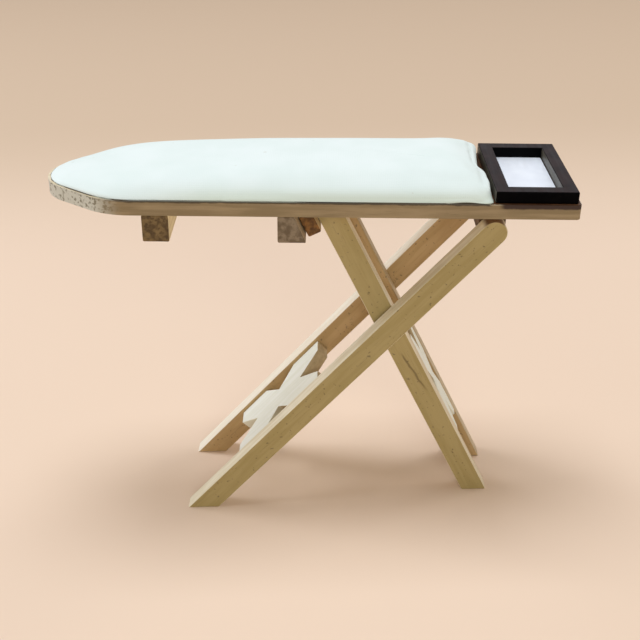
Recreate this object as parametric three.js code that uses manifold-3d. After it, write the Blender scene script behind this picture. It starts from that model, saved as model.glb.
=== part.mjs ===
// A wooden ironing board for a dolls' house, at one twelfth of full size.
// Lengths are in millimetres and angles in degrees. +Z is up, +X runs to the board's
// square end and -Y is the front. The part stands on z = 0, centred on its own box.
import * as THREE from 'three';
import { mergeVertices } from 'three/addons/utils/BufferGeometryUtils.js';
import Module from 'manifold-3d';

const wasm = await Module();
wasm.setup();

// Board, with a pointed nose at one end and a square end at the other
const boardLength = 101.5;
const boardWidth = 28.1;
const boardThickness = 2.8;
const boardCornerRadius = 0.9;
const noseAngle = 36;
const noseShoulderRadius = 14;
const noseTipRadius = 8.8;

// Padded cover, a cloth shell over a crowned sheet of wadding
const padSideInset = 0.2;
const padNoseInset = 0.55;
const padEndInset = 16.3;
const padCornerRadius = 1.3;
const padNoseHeight = 0.6;
const padCrownRise = 4.3;
const padRiseLength = 22;
const padEndFallLength = 3;
const padEndDrop = 0.9;
const padEndRound = 7;
const clothThickness = 0.35;

// Iron rest, a frame round a thin metal plate at the square end
const restLength = 15.4;
const restSideInset = 0.65;
const restHeight = 2.3;
const restBarEnd = 2.65;
const restBarSide = 2.7;
const restEndInset = 0.6;
const plateThickness = 0.3;

// Rails under the board
const railHeight = 5.38;
const railWidth = 5.08;
const railEndInset = 0.3;
const noseRailFromEnd = 76.7;
const catchTopWidth = 3.15;
const catchSlant = 23;
const hingeRailWidth = 5.2;
const hingeRailHeight = 5.6;
const hingeFromEnd = 15.3;
const hingeDrop = 3.86;

// Legs, all of one stock, in an outer frame and a shorter inner frame that cross
const legWidth = 4.88;
const legThickness = 3.63;
const legSideInset = 1.98;
const outerAngle = 48.8;
const outerCrossReach = 29.2;
const outerFootReach = 58.7;
const innerAngle = 116.5;
const innerFootReach = 46.64;

// Flat braces, sawn to an X, one in each frame
const braceLength = 25.8;
const braceThickness = 2.9;
const braceFromFoot = 13.5;
const braceSideNotchHalf = 4.7;
const braceEndFlatShare = 0.48;
const braceSideNotchShare = 0.58;
const braceEndNotchDepth = 5.7;
const outerBraceRecess = 0.8;
const innerBraceRecess = 0.1;

// Catch bar across the head of the inner frame
const catchBarThickness = 2.7;
const catchBarWidth = 4.45;
const catchBarOverhang = 3;
const catchBarDrop = 0.1;

// Wire pins, hidden in blind holes
const pinRadius = 0.6;
const pinDepth = 2.4;

// Clearances
const seatGap = 0.1;
const softGap = 0.3;
const plateGap = 0.15;
const frameGap = 0.5;
const hingeSideGap = 0.25;
const topGap = 0.2;
const catchGap = 0.12;
const pinSeatClearance = 0.02;
const pinRunClearance = 0.08;
const pinEndClearance = 0.1;

// Counts of steps round arcs, pins and the pad
const arcSteps = 10;
const pinSides = 20;
const padSteps = 72;

const degree = Math.PI / 180;

// Places that follow from the sizes, in the board's own frame: x = 0 at the square
// end, z = 0 at the underside.
const restWidth = boardWidth - 2 * restSideInset;
const outerSpan = boardWidth - 2 * legSideInset;
const innerSpan = outerSpan - 2 * legThickness - 2 * frameGap;
const hinge = new THREE.Vector2(-hingeFromEnd, -hingeDrop);
const outerUp = new THREE.Vector2(Math.cos(outerAngle * degree), Math.sin(outerAngle * degree));
const crossing = hinge.clone().addScaledVector(outerUp, -outerCrossReach);
const innerUp = new THREE.Vector2(Math.cos(innerAngle * degree), Math.sin(innerAngle * degree));
const innerTopReach = (-topGap - crossing.y) / innerUp.y;
const outerFoot = crossing.clone().addScaledVector(outerUp, -outerFootReach);
const innerFoot = crossing.clone().addScaledVector(innerUp, -innerFootReach);
const floorSlope = innerFoot.clone().sub(outerFoot).angle() / degree;
const innerHeadCut = -innerAngle;
const halfLeg = legWidth / 2;

// How far along a leg a slanting cut lies, at a height above the leg's middle line
function cutAt(reach, cutAngle, height) {
  return reach + height / Math.tan(cutAngle * degree);
}

const catchBarEnd = cutAt(innerTopReach, innerHeadCut, halfLeg) - catchBarDrop;

// A place given along a turned leg and above its middle line, in the board's frame
function besideLeg(start, up, along, height) {
  return new THREE.Vector2(
    start.x + up.x * along - up.y * height,
    start.y + up.y * along + up.x * height,
  );
}

// Shapes and solids

function polygon(points) {
  const shape = new THREE.Shape();
  shape.moveTo(points[0][0], points[0][1]);
  points.slice(1).forEach(([x, y]) => shape.lineTo(x, y));
  shape.closePath();
  return shape;
}

// A plan raised by a height
function raised(shape, height) {
  const options = { depth: height, bevelEnabled: false, curveSegments: arcSteps };
  return new THREE.ExtrudeGeometry(shape, options);
}

// A side view, drawn in x and z, carried over a width centred on y
function carried(shape, width) {
  const geometry = raised(shape, width);
  geometry.rotateX(90 * degree);
  geometry.translate(0, width / 2, 0);
  return geometry;
}

function toSolid(geometry) {
  const bare = geometry.clone();
  bare.deleteAttribute('normal');
  bare.deleteAttribute('uv');
  const merged = mergeVertices(bare);
  return new wasm.Manifold(new wasm.Mesh({
    numProp: 3,
    vertProperties: merged.attributes.position.array,
    triVerts: new Uint32Array(merged.index.array),
  }));
}

function toGeometry(solid) {
  const mesh = solid.getMesh();
  const geometry = new THREE.BufferGeometry();
  geometry.setAttribute('position', new THREE.BufferAttribute(new Float32Array(mesh.vertProperties), 3));
  geometry.setIndex(new THREE.BufferAttribute(new Uint32Array(mesh.triVerts), 1));
  const faceted = geometry.toNonIndexed();
  faceted.computeVertexNormals();
  return faceted;
}

// Cuts blind holes for pins along y. Each hole gives its place, its middle and its depth.
function withHoles(geometry, holes) {
  let solid = toSolid(geometry);
  holes.forEach(({ x, z, y, depth, clearance }) => {
    const radius = pinRadius + clearance;
    const cutter = new THREE.CylinderGeometry(radius, radius, depth, pinSides);
    cutter.translate(x, y, z);
    solid = solid.subtract(toSolid(cutter));
  });
  return toGeometry(solid);
}

// Materials
const timber = { metalness: 0, roughness: 0.75 };
const materials = {
  board: new THREE.MeshStandardMaterial({ color: 0xc2a97c, ...timber }),
  leg: new THREE.MeshStandardMaterial({ color: 0xc4ac7d, ...timber }),
  rail: new THREE.MeshStandardMaterial({ color: 0x9c8463, ...timber }),
  brace: new THREE.MeshStandardMaterial({ color: 0xd9cfb4, ...timber }),
  cloth: new THREE.MeshStandardMaterial({ color: 0xe6efe6, metalness: 0, roughness: 0.95 }),
  wadding: new THREE.MeshStandardMaterial({ color: 0xf2f0ea, metalness: 0, roughness: 1 }),
  stained: new THREE.MeshStandardMaterial({ color: 0x2b2122, metalness: 0, roughness: 0.4 }),
  plate: new THREE.MeshStandardMaterial({ color: 0xdde2ea, metalness: 0.9, roughness: 0.3 }),
  wire: new THREE.MeshStandardMaterial({ color: 0xa8a49a, metalness: 0.9, roughness: 0.4 }),
};

function piece(name, geometry, material) {
  const mesh = new THREE.Mesh(geometry, material);
  mesh.name = name;
  return mesh;
}

// Plan of the board or the pad: straight sides that turn in over a shoulder, run
// straight to the nose and close in a round tip. x = 0 is the square end.
function boardPlan(length, width, cornerRadius) {
  const half = width / 2;
  const turn = noseAngle * degree;
  const apex = -length - noseTipRadius * (1 / Math.sin(turn) - 1);
  const tipCentre = apex + noseTipRadius / Math.sin(turn);
  // the shoulder's arc is tangent to the side and to the nose's straight run
  const shoulderY = half - noseShoulderRadius;
  const toLine = noseShoulderRadius + shoulderY * Math.cos(turn);
  const shoulderX = apex + toLine / Math.sin(turn);
  const plan = new THREE.Shape();
  const arc = (x, y, radius, from, to) => {
    plan.absarc(x, y, radius, from * degree, to * degree, false);
  };
  plan.moveTo(0, 0);
  arc(-cornerRadius, half - cornerRadius, cornerRadius, 0, 90);
  arc(shoulderX, shoulderY, noseShoulderRadius, 90, 90 + noseAngle);
  arc(tipCentre, 0, noseTipRadius, 90 + noseAngle, 270 - noseAngle);
  arc(shoulderX, -shoulderY, noseShoulderRadius, 270 - noseAngle, 270);
  arc(-cornerRadius, -half + cornerRadius, cornerRadius, 270, 360);
  plan.closePath();
  return plan;
}

function makeBoard() {
  const plan = boardPlan(boardLength, boardWidth, boardCornerRadius);
  return piece('board', raised(plan, boardThickness), materials.board);
}

// Padded cover

// How high the pad stands over its rim at its middle, along x from its square end
const padLength = boardLength - padEndInset - padNoseInset;
function crownAt(x) {
  const fromNose = Math.max(x + padLength, 0);
  const rise = padCrownRise * (1 - Math.exp(-fromNose / padRiseLength));
  const fall = padEndDrop * Math.exp(x / padEndFallLength);
  return padNoseHeight + rise - fall;
}

// Rings up the side of the pad: share of the way in to its middle line, share of its height
const padRingShares = [
  [0, 0],
  [0, 0.3],
  [0.03, 0.56],
  [0.1, 0.78],
  [0.24, 0.91],
  [0.5, 0.98],
  [0.8, 1],
];

// One ring: its outline is drawn in to a middle line and lifted to its share of the crown
function padRing(outline, spine, [inShare, heightShare], base, inset) {
  return outline.map((point) => {
    const middle = THREE.MathUtils.clamp(point.x, spine[0], spine[1]);
    const x = THREE.MathUtils.lerp(point.x, middle, inShare);
    const y = THREE.MathUtils.lerp(point.y, 0, inShare);
    return new THREE.Vector3(x, y, base + (crownAt(x) - inset) * heightShare);
  });
}

// Joins rings into a closed skin. The first and the last ring are filled by a strip
// that runs from the square end to the nose.
function skin(rings) {
  const count = rings[0].length;
  const positions = rings.flat().flatMap((point) => [point.x, point.y, point.z]);
  const index = [];
  for (let ring = 0; ring + 1 < rings.length; ring += 1) {
    for (let step = 0; step < count; step += 1) {
      const next = (step + 1) % count;
      const [a, b] = [ring * count + step, ring * count + next];
      const [c, d] = [a + count, b + count];
      index.push(a, b, d, a, d, c);
    }
  }
  const fill = (start, facesDown) => {
    for (let step = 0; step < count / 2; step += 1) {
      const [left, leftNext] = [start + step, start + step + 1];
      const [right, rightNext] = [start + ((count - step) % count), start + count - step - 1];
      const faces = [[left, leftNext, rightNext], [left, rightNext, right]];
      faces.filter((face) => new Set(face).size === face.length).forEach(([a, b, c]) => {
        index.push(a, facesDown ? c : b, facesDown ? b : c);
      });
    }
  };
  fill(0, true);
  fill((rings.length - 1) * count, false);
  const geometry = new THREE.BufferGeometry();
  geometry.setAttribute('position', new THREE.Float32BufferAttribute(positions, 3));
  geometry.setIndex(index);
  return geometry;
}

function padRings(inset, base) {
  const width = boardWidth - 2 * padSideInset - 2 * inset;
  const plan = boardPlan(padLength - 2 * inset, width, padCornerRadius);
  const outline = plan.getSpacedPoints(padSteps).slice(0, -1);
  outline.forEach((point) => {
    point.x -= inset;
  });
  const spine = [boardWidth / 2 - padLength, -padEndRound];
  return padRingShares.map((shares) => padRing(outline, spine, shares, base, inset));
}

function makePad(group) {
  const rim = boardThickness + softGap;
  const outside = padRings(0, rim);
  const inside = padRings(clothThickness, rim);
  const cover = piece('pad_cover', skin([...inside.reverse(), ...outside]), materials.cloth);
  const fill = padRings(clothThickness + softGap, rim);
  const wadding = piece('pad_wadding', skin(fill), materials.wadding);
  [cover, wadding].forEach((mesh) => {
    mesh.position.x = -padEndInset;
    group.add(mesh);
  });
}

// Iron rest
function makeIronRest(group) {
  const opening = { length: restLength - 2 * restBarEnd, width: restWidth - 2 * restBarSide };
  const rectangle = (length, width) => [
    [-length / 2, -width / 2],
    [length / 2, -width / 2],
    [length / 2, width / 2],
    [-length / 2, width / 2],
  ];
  const rim = polygon(rectangle(restLength, restWidth));
  rim.holes.push(polygon(rectangle(opening.length, opening.width)));
  const frame = piece('iron_rest_frame', raised(rim, restHeight), materials.stained);
  const sheet = rectangle(opening.length - 2 * plateGap, opening.width - 2 * plateGap);
  const plate = piece('iron_rest_plate', raised(polygon(sheet), plateThickness), materials.plate);
  [frame, plate].forEach((mesh) => {
    mesh.position.set(-restEndInset - restLength / 2, 0, boardThickness + seatGap);
    group.add(mesh);
  });
}

// Rails under the board
function makeRails(group) {
  const railSpan = boardWidth - 2 * railEndInset;
  const noseRail = polygon([
    [0, 0],
    [-railWidth, 0],
    [-railWidth, -railHeight],
    [0, -railHeight],
  ]);
  const nose = piece('nose_rail', carried(noseRail, railSpan), materials.rail);
  nose.position.set(-noseRailFromEnd, 0, -seatGap);
  group.add(nose);

  // the catch rail's slanting side stands just clear of the catch bar's upper corner
  const corner = besideLeg(crossing, innerUp, catchBarEnd, halfLeg + seatGap + catchBarThickness);
  const slant = Math.tan(catchSlant * degree);
  const topEdge = corner.x - catchGap / Math.cos(catchSlant * degree) + (corner.y + seatGap) * slant;
  const catchSide = polygon([
    [0, 0],
    [-catchTopWidth, 0],
    [-catchTopWidth, -railHeight],
    [railHeight * slant, -railHeight],
  ]);
  const catchRail = piece('catch_rail', carried(catchSide, railSpan), materials.rail);
  catchRail.position.set(topEdge, 0, -seatGap);
  group.add(catchRail);

  const hingeSpan = outerSpan - 2 * legThickness - 2 * hingeSideGap;
  const block = new THREE.BoxGeometry(hingeRailWidth, hingeSpan, hingeRailHeight);
  block.translate(hinge.x, 0, -seatGap - hingeRailHeight / 2);
  const holeDepth = pinDepth + pinEndClearance;
  const holes = [-1, 1].map((side) => ({
    x: hinge.x,
    z: hinge.y,
    y: side * (hingeSpan / 2),
    depth: 2 * holeDepth,
    clearance: pinSeatClearance,
  }));
  group.add(piece('hinge_rail', withHoles(block, holes), materials.rail));
}

// Legs. Each is drawn in side view along its own frame, with x up the leg.

const outerFloorCut = floorSlope - outerAngle;
const innerFloorCut = floorSlope - innerAngle;


function makeLeg(name, shape, side, span, holes) {
  const geometry = carried(shape, legThickness);
  const middle = side * (span / 2 - legThickness / 2);
  geometry.translate(0, middle, 0);
  return piece(name, withHoles(geometry, holes), materials.leg);
}

// A blind hole from one face of a leg, which faces in or out
function legHole(x, face, clearance) {
  return { x, z: 0, y: face, depth: 2 * (pinDepth + pinEndClearance), clearance };
}

function outerLegShape() {
  const foot = -outerCrossReach - outerFootReach;
  const shape = new THREE.Shape();
  shape.moveTo(cutAt(foot, outerFloorCut, halfLeg), halfLeg);
  shape.lineTo(cutAt(foot, outerFloorCut, -halfLeg), -halfLeg);
  shape.lineTo(0, -halfLeg);
  shape.absarc(0, 0, halfLeg, -90 * degree, 90 * degree, false);
  shape.closePath();
  return shape;
}

function innerLegShape() {
  return polygon([
    [cutAt(-innerFootReach, innerFloorCut, halfLeg), halfLeg],
    [cutAt(-innerFootReach, innerFloorCut, -halfLeg), -halfLeg],
    [cutAt(innerTopReach, innerHeadCut, -halfLeg), -halfLeg],
    [cutAt(innerTopReach, innerHeadCut, halfLeg), halfLeg],
  ]);
}

// Braces. x runs along the frame from the brace's middle, y across it.
function bracePlan(width) {
  const [long, wide] = [braceLength / 2, width / 2];
  const flat = wide * (1 - braceEndFlatShare);
  const sideNotch = wide * (1 - braceSideNotchShare);
  const endNotch = long - braceEndNotchDepth;
  return polygon([
    [long, wide],
    [braceSideNotchHalf, wide],
    [0, sideNotch],
    [-braceSideNotchHalf, wide],
    [-long, wide],
    [-long, flat],
    [-endNotch, 0],
    [-long, -flat],
    [-long, -wide],
    [-braceSideNotchHalf, -wide],
    [0, -sideNotch],
    [braceSideNotchHalf, -wide],
    [long, -wide],
    [long, -flat],
    [endNotch, 0],
    [long, flat],
  ]);
}

function makeBrace(name, span, footReach, underside) {
  const width = span - 2 * legThickness - 2 * seatGap;
  const brace = piece(name, raised(bracePlan(width), braceThickness), materials.brace);
  brace.position.set(-footReach + braceFromFoot + braceLength / 2, 0, underside);
  return brace;
}

const sides = [['front', -1], ['back', 1]];

// The outer frame turns on the hinge pins. Its origin is the hinge's axis.
function makeOuterFrame() {
  const frame = new THREE.Group();
  const innerFace = outerSpan / 2 - legThickness;
  sides.forEach(([word, side]) => {
    const holes = [
      legHole(0, side * innerFace, pinRunClearance),
      legHole(-outerCrossReach, side * innerFace, pinSeatClearance),
    ];
    frame.add(makeLeg(`outer_leg_${word}`, outerLegShape(), side, outerSpan, holes));
  });
  const underside = halfLeg - outerBraceRecess - braceThickness;
  frame.add(makeBrace('outer_brace', outerSpan, outerCrossReach + outerFootReach, underside));
  return frame;
}

// The inner frame turns on the crossing pins. Its origin is the crossing's axis.
function makeInnerFrame() {
  const frame = new THREE.Group();
  sides.forEach(([word, side]) => {
    const holes = [legHole(0, side * innerSpan / 2, pinRunClearance)];
    frame.add(makeLeg(`inner_leg_${word}`, innerLegShape(), side, innerSpan, holes));
  });
  frame.add(makeBrace('inner_brace', innerSpan, innerFootReach, -halfLeg + innerBraceRecess));
  const bar = new THREE.BoxGeometry(catchBarWidth, innerSpan + 2 * catchBarOverhang, catchBarThickness);
  bar.translate(catchBarEnd - catchBarWidth / 2, 0, halfLeg + seatGap + catchBarThickness / 2);
  frame.add(piece('catch_bar', bar, materials.rail));
  return frame;
}

// A pin bridges the gap between two pieces and lies at one depth in each
function makePins(word, gapMiddle, gap) {
  return sides.map(([side, sign]) => {
    const pin = new THREE.CylinderGeometry(pinRadius, pinRadius, gap + 2 * pinDepth, pinSides);
    pin.translate(0, sign * gapMiddle, 0);
    return piece(`${word}_pin_${side}`, pin, materials.wire);
  });
}

const hingeGapMiddle = outerSpan / 2 - legThickness - hingeSideGap / 2;
const crossGapMiddle = innerSpan / 2 + frameGap / 2;

function turned(group, place, angle) {
  group.position.set(place.x, 0, place.y);
  group.rotation.y = -angle * degree;
  return group;
}

// Everything in the board's frame, then turned so that the four feet meet the floor
const onBoard = new THREE.Group();
onBoard.add(makeBoard());
makePad(onBoard);
makeIronRest(onBoard);
makeRails(onBoard);
const hingePins = new THREE.Group();
makePins('hinge', hingeGapMiddle, hingeSideGap).forEach((pin) => hingePins.add(pin));
onBoard.add(turned(hingePins, hinge, outerAngle));
const outerFrame = makeOuterFrame();
makePins('crossing', crossGapMiddle, frameGap).forEach((pin) => {
  pin.position.x = -outerCrossReach;
  outerFrame.add(pin);
});
onBoard.add(turned(outerFrame, hinge, outerAngle));
onBoard.add(turned(makeInnerFrame(), crossing, innerAngle));
onBoard.rotation.y = floorSlope * degree;

const ironingBoard = new THREE.Group();
ironingBoard.add(onBoard);
ironingBoard.updateMatrixWorld(true);
const box = new THREE.Box3().setFromObject(ironingBoard, true);
const middle = box.getCenter(new THREE.Vector3());
ironingBoard.position.set(-middle.x, -middle.y, -box.min.z);
ironingBoard.updateMatrixWorld(true);

export default ironingBoard;
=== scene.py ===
# %% [markdown]
# # A dolls' house ironing board
# The toy is small enough to stand on a palm: a flat board with a pointed nose, a padded cloth
# cover, a dark frame with a metal plate for the iron, and two pairs of crossed legs. The CAD
# model already has every piece at its true place, so this lesson dresses those pieces: it
# rounds their edges, stuffs the cover, and gives wood, cloth and metal their finish.

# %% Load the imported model
import math

import bmesh
import bpy
from mathutils import Matrix, Vector, noise


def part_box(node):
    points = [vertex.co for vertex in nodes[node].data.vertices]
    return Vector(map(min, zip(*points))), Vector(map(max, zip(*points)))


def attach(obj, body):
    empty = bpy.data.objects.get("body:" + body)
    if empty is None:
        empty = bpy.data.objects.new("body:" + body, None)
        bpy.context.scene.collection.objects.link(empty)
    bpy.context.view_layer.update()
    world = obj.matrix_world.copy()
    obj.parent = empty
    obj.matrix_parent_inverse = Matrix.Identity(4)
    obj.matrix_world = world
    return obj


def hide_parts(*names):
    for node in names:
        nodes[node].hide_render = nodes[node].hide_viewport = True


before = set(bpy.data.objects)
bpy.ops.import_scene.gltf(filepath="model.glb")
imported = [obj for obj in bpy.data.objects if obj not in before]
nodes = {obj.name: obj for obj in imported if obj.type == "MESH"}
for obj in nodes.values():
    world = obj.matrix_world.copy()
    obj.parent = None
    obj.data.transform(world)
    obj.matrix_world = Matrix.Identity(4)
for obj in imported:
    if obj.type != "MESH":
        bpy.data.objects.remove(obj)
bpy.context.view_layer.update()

# %% [markdown]
# Everything in Blender is in metres here, but a toy this small is easier to think of in
# millimetres. One named unit keeps the numbers readable. The board slopes by a couple of
# degrees towards its square end, because the inner legs are a little short, so the slope and
# the board's own directions are measured from its CAD node before anything is built on it.

# %% Units and the board's own frame
MM = 0.001
MIDDLE_BAND = 4.0 * MM


def node_points(name):
    """The corners of a CAD node's mesh, in the row frame."""
    return [vertex.co.copy() for vertex in nodes[name].data.vertices]


def lowest_corner(points):
    """The lowest of some points, and of those the one furthest along +X."""
    return min(points, key=lambda p: (round(p.z / MM, 2), -p.x))


def board_slope():
    """The angle by which the board falls towards +X, from its lowest corners at both ends."""
    points = node_points("board")
    end_low = lowest_corner(points)
    near_middle = [p for p in points if abs(p.y) < MIDDLE_BAND]
    nose_low = min(near_middle, key=lambda p: (round(p.x / MM, 0), p.z))
    return math.atan2(nose_low.z - end_low.z, end_low.x - nose_low.x)


SLOPE = board_slope()
ALONG = Vector((math.cos(SLOPE), 0, -math.sin(SLOPE)))
UPRIGHT = Vector((math.sin(SLOPE), 0, math.cos(SLOPE)))
BOARD_END = lowest_corner(node_points("board"))
BOARD_END.y = 0
print("board falls by", round(math.degrees(SLOPE), 2), "degrees")


def to_board(point):
    """A place in the board's frame: along it from the square end, across it, above its underside."""
    offset = point - BOARD_END
    return Vector((offset.dot(ALONG), offset.y, offset.dot(UPRIGHT)))


def from_board(place):
    """The row frame's point for a place in the board's frame."""
    return BOARD_END + ALONG * place.x + Vector((0, place.y, 0)) + UPRIGHT * place.z


BOARD_THICK = max(to_board(p).z for p in node_points("board"))
print("board thickness, mm:", round(BOARD_THICK / MM, 2))

# %% [markdown]
# A wooden toy has no razor edges: each piece is sanded by hand before it is glued. Sharp CAD
# edges also catch no light in a render. So each wooden piece starts from a copy of its CAD
# node, whose loose triangles are merged back into whole faces, and then bevel rounds the long
# edges. Short edges belong to pin holes that nobody sees, and they are left alone.

# %% A copy of a CAD node, with whole faces
FLAT_ANGLE = math.radians(1)
SAME_POINT = 0.001 * MM


def copy_of_node(name):
    """A bmesh of a CAD node with doubles merged and flat faces joined."""
    mesh = bmesh.new()
    mesh.from_mesh(nodes[name].data)
    bmesh.ops.remove_doubles(mesh, verts=mesh.verts, dist=SAME_POINT)
    bmesh.ops.dissolve_limit(
        mesh, angle_limit=FLAT_ANGLE, verts=mesh.verts, edges=mesh.edges
    )
    return mesh


# %% Round the edges of a piece
SHARP_ANGLE = math.radians(30)
ROUNDING_STEPS = 3


def round_edges(mesh, width, shortest):
    """Bevels the sharp edges that are longer than shortest."""
    edges = [
        edge
        for edge in mesh.edges
        if edge.is_manifold
        and edge.calc_face_angle(0) > SHARP_ANGLE
        and edge.calc_length() > shortest
    ]
    bmesh.ops.bevel(
        mesh,
        geom=edges,
        offset=width,
        offset_type="OFFSET",
        affect="EDGES",
        segments=ROUNDING_STEPS,
        profile=0.5,
        material=-1,
        clamp_overlap=True,
    )
    return len(edges)


# %% Make an object of a mesh
NORMAL_WEIGHT = 80


def finished(name, mesh, body, replaced=()):
    """Turns a bmesh into a named object that rides on a body and stands for CAD nodes."""
    data = bpy.data.meshes.new(name)
    mesh.to_mesh(data)
    mesh.free()
    data.set_sharp_from_angle(angle=SHARP_ANGLE)
    piece = bpy.data.objects.new(name, data)
    bpy.context.scene.collection.objects.link(piece)
    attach(piece, body)
    if replaced:
        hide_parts(*replaced)
    return piece


def even_normals(piece):
    """Lets the broad faces, and not the small bevels, decide how light falls."""
    weighted = piece.modifiers.new("Even normals", "WEIGHTED_NORMAL")
    weighted.keep_sharp = True
    weighted.weight = NORMAL_WEIGHT


# %% [markdown]
# ## Wood
# The wood is a pale, close-grained timber. Its long faces show soft streaks and short dark
# pores; a sawn end shows the same pores end on, as specks. One pattern gives both: noise that
# is stretched along the grain looks like streaks from the side and like specks from the end.
# A Mapping node of the TEXTURE kind turns the pattern to a leg's slope and then stretches it.

# %% Small helpers for node materials
def new_material(name):
    """An empty node material with its shader, and a function that adds nodes to it."""
    material = bpy.data.materials.new(name)
    material.use_nodes = True
    tree = material.node_tree
    shader = tree.nodes["Principled BSDF"]
    return material, tree, shader


def add_node(tree, kind, **settings):
    """Adds a node and sets its properties."""
    node = tree.nodes.new(kind)
    for key, value in settings.items():
        setattr(node, key, value)
    return node


def add_noise(tree, vector, scale, detail=4.0, roughness=0.55, distortion=0.0):
    """Noise read at a vector, with its size set by scale."""
    node = add_node(tree, "ShaderNodeTexNoise")
    node.inputs["Scale"].default_value = scale
    node.inputs["Detail"].default_value = detail
    node.inputs["Roughness"].default_value = roughness
    node.inputs["Distortion"].default_value = distortion
    tree.links.new(vector, node.inputs["Vector"])
    return node.outputs["Fac"]


def add_range(tree, value, low, high, to_low=0.0, to_high=1.0):
    """Spreads the part of a value between low and high over to_low to to_high."""
    node = add_node(tree, "ShaderNodeMapRange", interpolation_type="SMOOTHSTEP")
    node.inputs["From Min"].default_value = low
    node.inputs["From Max"].default_value = high
    node.inputs["To Min"].default_value = to_low
    node.inputs["To Max"].default_value = to_high
    tree.links.new(value, node.inputs["Value"])
    return node.outputs["Result"]


def add_mix(tree, factor, first, second, blend="MIX"):
    """Mixes two colours. Either may be a socket or a colour."""
    node = add_node(tree, "ShaderNodeMix", data_type="RGBA", blend_type=blend)
    sockets = [s for s in node.inputs if s.type == "RGBA"]
    for socket, value in zip(sockets, (first, second)):
        if isinstance(value, bpy.types.NodeSocket):
            tree.links.new(value, socket)
        else:
            socket.default_value = (*value, 1.0)
    if isinstance(factor, bpy.types.NodeSocket):
        tree.links.new(factor, node.inputs[0])
    else:
        node.inputs[0].default_value = factor
    return next(s for s in node.outputs if s.type == "RGBA")


def add_math(tree, operation, first, second=None):
    """One sum on values. Either may be a socket or a number."""
    node = add_node(tree, "ShaderNodeMath", operation=operation)
    for socket, value in zip(node.inputs, (first, second)):
        if isinstance(value, bpy.types.NodeSocket):
            tree.links.new(value, socket)
        elif value is not None:
            socket.default_value = value
    return node.outputs[0]


def add_bump(tree, shader, height, strength, distance):
    """Bump from a height, on the shader's normal."""
    node = add_node(tree, "ShaderNodeBump")
    node.inputs["Strength"].default_value = strength
    node.inputs["Distance"].default_value = distance
    tree.links.new(height, node.inputs["Height"])
    tree.links.new(node.outputs["Normal"], shader.inputs["Normal"])


def object_coordinates(tree):
    """The piece's own coordinates, in metres."""
    return add_node(tree, "ShaderNodeTexCoord").outputs["Object"]


def split_axes(tree, vector):
    """The x, y and z of a vector."""
    parts = add_node(tree, "ShaderNodeSeparateXYZ")
    tree.links.new(vector, parts.inputs["Vector"])
    return parts.outputs["X"], parts.outputs["Y"], parts.outputs["Z"]


def add_wander(tree, vector, scale, detail, reach):
    """A noise that wanders up and down by half a reach."""
    waves = add_noise(tree, vector, scale, detail=detail)
    return add_math(tree, "MULTIPLY", add_math(tree, "SUBTRACT", waves, 0.5), reach)


def tint(tree, mask, colour):
    """Mixes a colour over a finish where a mask is high."""
    base = tree.nodes["Principled BSDF"].inputs["Base Color"]
    old = base.links[0].from_socket
    tree.links.new(add_mix(tree, mask, old, colour), base)


# %% The wood finish
GRAIN_STRETCH = 14.0


def turned_coordinates(tree, start, turn, stretch=1.0):
    """Coordinates from a start, turned, and stretched along x."""
    mapping = add_node(tree, "ShaderNodeMapping", vector_type="TEXTURE")
    mapping.inputs["Location"].default_value = start
    mapping.inputs["Rotation"].default_value = turn
    mapping.inputs["Scale"].default_value = (stretch, 1.0, 1.0)
    tree.links.new(object_coordinates(tree), mapping.inputs["Vector"])
    return mapping.outputs["Vector"]


def wood_finish(
    name, pale, deep, pore, turn=(0, 0, 0), start=(0, 0, 0), pores=0.5, rough=0.55, pits=0.0
):
    """Timber with streaks from pale to deep, pores along its grain and round pits."""
    material, tree, shader = new_material(name)
    grain = turned_coordinates(tree, start, turn, GRAIN_STRETCH)
    clouds = add_noise(tree, object_coordinates(tree), 150.0, detail=3.0)
    streaks = add_noise(tree, grain, 900.0, detail=5.0, distortion=0.2)
    fibres = add_noise(tree, grain, 3200.0, detail=2.0)
    specks = add_noise(tree, grain, 1900.0, detail=3.0, roughness=0.7)
    tone = add_math(tree, "ADD", add_range(tree, streaks, 0.3, 0.7), clouds)
    colour = add_mix(tree, add_range(tree, tone, 0.45, 1.45), pale, deep)
    colour = add_mix(tree, add_range(tree, fibres, 0.5, 0.75, 0.0, 0.2), colour, deep)
    pitted = add_range(tree, specks, 0.62, 0.74, 0.0, pores)
    colour = add_mix(tree, pitted, colour, pore)
    dots = add_noise(tree, object_coordinates(tree), 1350.0, detail=2.0, roughness=0.6)
    colour = add_mix(tree, add_range(tree, dots, 0.655, 0.70, 0.0, pits), colour, pore)
    tree.links.new(colour, shader.inputs["Base Color"])
    shader.inputs["Specular IOR Level"].default_value = 0.45
    tree.links.new(
        add_range(tree, streaks, 0.3, 0.7, rough - 0.06, rough + 0.1), shader.inputs["Roughness"]
    )
    height = add_math(tree, "SUBTRACT", fibres, pitted)
    add_bump(tree, shader, height, 0.35, 0.05 * MM)
    return material


# %% [markdown]
# Each wooden piece was cut from its own stretch of timber, so each has its own start in the
# pattern. The legs' grain follows their slope, the rails' grain runs across the board, and the
# board's grain runs from nose to end. A piece also shows two cuts: broad faces next to narrow
# ones, or sawn ends next to long sides, which differ in colour. So each wooden piece carries two
# finishes, and every face takes one or the other by the way it looks.

# %% Where each piece's grain runs
DARK_PORE = (0.075, 0.05, 0.03)
OUTER_LEG_ANGLE = math.radians(46.45)
INNER_LEG_ANGLE = math.radians(114.15)

outer_turn = (0, -OUTER_LEG_ANGLE, 0)
inner_turn = (0, -INNER_LEG_ANGLE, 0)
across_turn = (0, 0, math.radians(90))
along_turn = (0, SLOPE, 0)


# %% Two cuts on one piece
FACING = 0.75


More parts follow.
